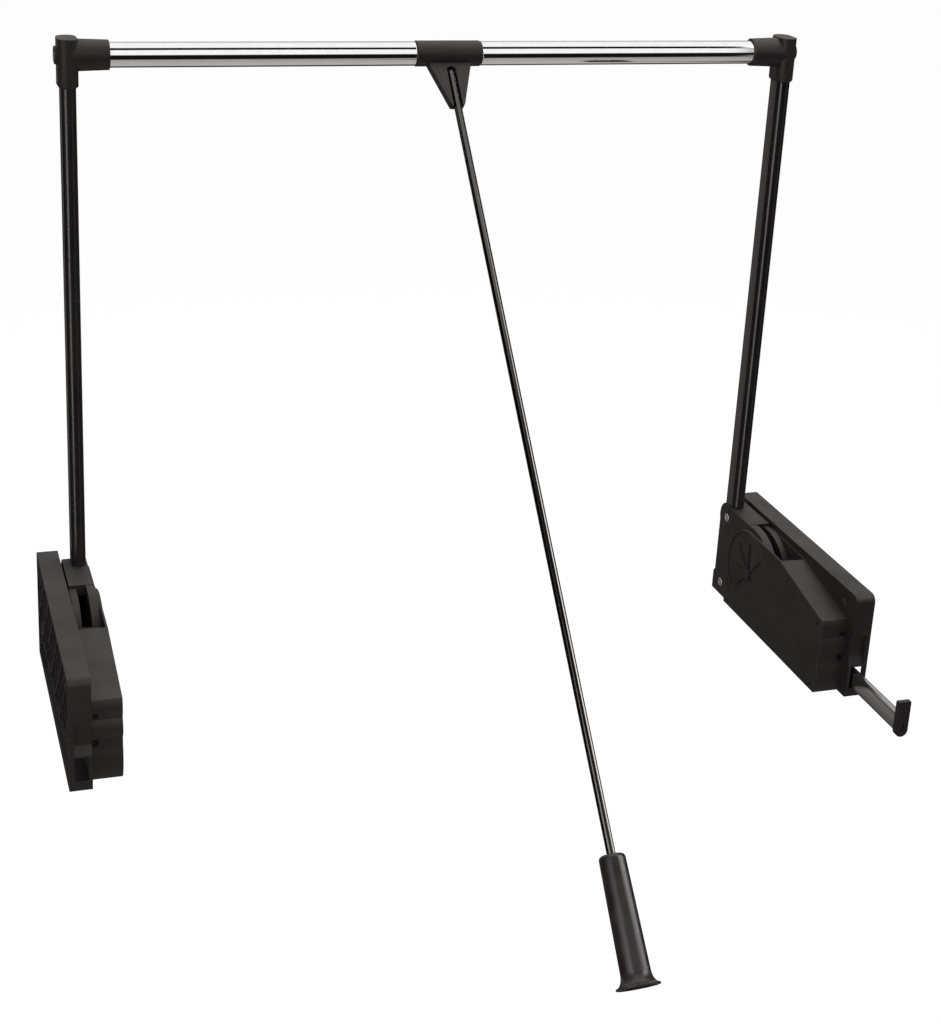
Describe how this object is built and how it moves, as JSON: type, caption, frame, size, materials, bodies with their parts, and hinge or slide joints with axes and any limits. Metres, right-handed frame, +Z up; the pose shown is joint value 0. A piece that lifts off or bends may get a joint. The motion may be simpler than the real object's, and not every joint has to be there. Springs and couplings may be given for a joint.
{
  "type": "pull down closet rod",
  "caption": "Wall-mounted wardrobe lift: ribbed side units carry spring-assisted arms and a telescopic chrome hanging rail, lowered with a pull rod; a short valet bar slides out.",
  "frame": {"origin": "centre of the left unit's four wall screws, on the wall face", "axes": "+X from the left side wall to the right one, -Y towards the room, +Z up"},
  "size_m": [0.85, 0.69, 0.698],
  "materials": {
    "dark_moulding": "matte, fine moulded texture, very dark bronze",
    "dark_steel": "dark bronze powder coat, satin",
    "rail_chrome": "polished",
    "bar_chrome": "polished, drawn lengthwise",
    "grip_plastic": "satin, dark grey-brown",
    "screw_steel": "bright zinc",
    "axle_steel": "ground",
    "inner_steel": "zinc plated",
    "spring_steel": "oiled spring wire",
    "bush_plastic": "natural acetal",
    "stop_rubber": "matte"
  },
  "bodies": {
    "left_unit": {"left_spacer_plate": "dark_moulding", "left_housing_shell": "dark_moulding", "left_inner_cover": "dark_moulding", "left_cover_screws": "screw_steel", "left_front_screws": "screw_steel", "left_pivot_axle": "axle_steel", "left_thrust_washers": "inner_steel", "left_anchor_pin": "axle_steel", "left_front_spring_plug": "inner_steel", "left_spring": "spring_steel", "left_stop_pads": "stop_rubber"},
    "left_arm": {"left_arm_carrier": "dark_moulding", "left_hub_bushes": "bush_plastic", "left_crank_pin": "axle_steel", "left_arm_eyelets": "screw_steel", "left_arm_tube": "dark_steel", "left_corner_connector": "dark_moulding", "left_rail_screw": "screw_steel", "left_rail_plug": "bush_plastic", "left_chrome_tube": "rail_chrome"},
    "left_link": {"left_spring_link": "inner_steel", "left_rear_spring_plug": "inner_steel"},
    "right_unit": {"right_spacer_plate": "dark_moulding", "right_housing_shell": "dark_moulding", "right_inner_cover": "dark_moulding", "right_cover_screws": "screw_steel", "right_front_screws": "screw_steel", "right_pivot_axle": "axle_steel", "right_thrust_washers": "inner_steel", "right_anchor_pin": "axle_steel", "right_front_spring_plug": "inner_steel", "right_spring": "spring_steel", "right_stop_pads": "stop_rubber", "bar_guide": "bush_plastic"},
    "right_arm": {"right_arm_carrier": "dark_moulding", "right_hub_bushes": "bush_plastic", "right_crank_pin": "axle_steel", "right_arm_eyelets": "screw_steel", "right_arm_tube": "dark_steel", "right_corner_connector": "dark_moulding", "right_rail_screw": "screw_steel", "right_rail_plug": "bush_plastic", "right_chrome_tube": "rail_chrome"},
    "right_link": {"right_spring_link": "inner_steel", "right_rear_spring_plug": "inner_steel"},
    "rail_centre": {"inner_tube": "inner_steel", "centre_sleeve": "dark_moulding", "sleeve_screw": "screw_steel", "swing_pin": "axle_steel"},
    "pull_rod": {"pull_rod": "dark_steel", "grip": "grip_plastic", "grip_screw": "screw_steel"},
    "valet": {"valet_bar": "bar_chrome", "bar_cap": "dark_moulding"}
  },
  "joints": [
    {"name": "lift_swing", "type": "hinge", "parent": "left_unit", "child": "left_arm", "pos_m": [0.0405, 0.0545, -0.016], "axis": [1, 0, 0], "range_deg": [0, 92], "stiffness_Nm_per_rad": 8, "springref_deg": -20.05, "deforming": ["left_spring", "right_spring"]},
    {"name": "width_adjust", "type": "slide", "parent": "left_unit", "child": "right_unit", "axis": [1, 0, 0], "range_m": [0, 0.28]},
    {"name": "right_swing", "type": "hinge", "parent": "right_unit", "child": "right_arm", "pos_m": [0.8095, 0.0545, -0.016], "axis": [1, 0, 0], "range_deg": [0, 92]},
    {"name": "left_link_swing", "type": "hinge", "parent": "left_arm", "child": "left_link", "pos_m": [0.03645, 0.02631, -0.02626], "axis": [1, 0, 0], "range_deg": [-101, 0]},
    {"name": "right_link_swing", "type": "hinge", "parent": "right_arm", "child": "right_link", "pos_m": [0.81355, 0.02631, -0.02626], "axis": [1, 0, 0], "range_deg": [-101, 0]},
    {"name": "rail_centre_slide", "type": "slide", "parent": "left_arm", "child": "rail_centre", "axis": [1, 0, 0], "range_m": [0, 0.14]},
    {"name": "pull_rod_swing", "type": "hinge", "parent": "rail_centre", "child": "pull_rod", "pos_m": [0.425, 0.10877, 0.56079], "axis": [1, 0, 0], "range_deg": [-100, 0]},
    {"name": "valet_slide", "type": "slide", "parent": "right_unit", "child": "valet", "axis": [0, 1, 0], "range_m": [0, 0.08]}
  ],
  "couplings": [
    {"joint": "right_swing", "follows": "lift_swing", "ratio": 1},
    {"joint": "left_link_swing", "follows": "lift_swing", "ratio": -1.083},
    {"joint": "right_link_swing", "follows": "lift_swing", "ratio": -1.083},
    {"joint": "rail_centre_slide", "follows": "width_adjust", "ratio": 0.5}
  ]
}
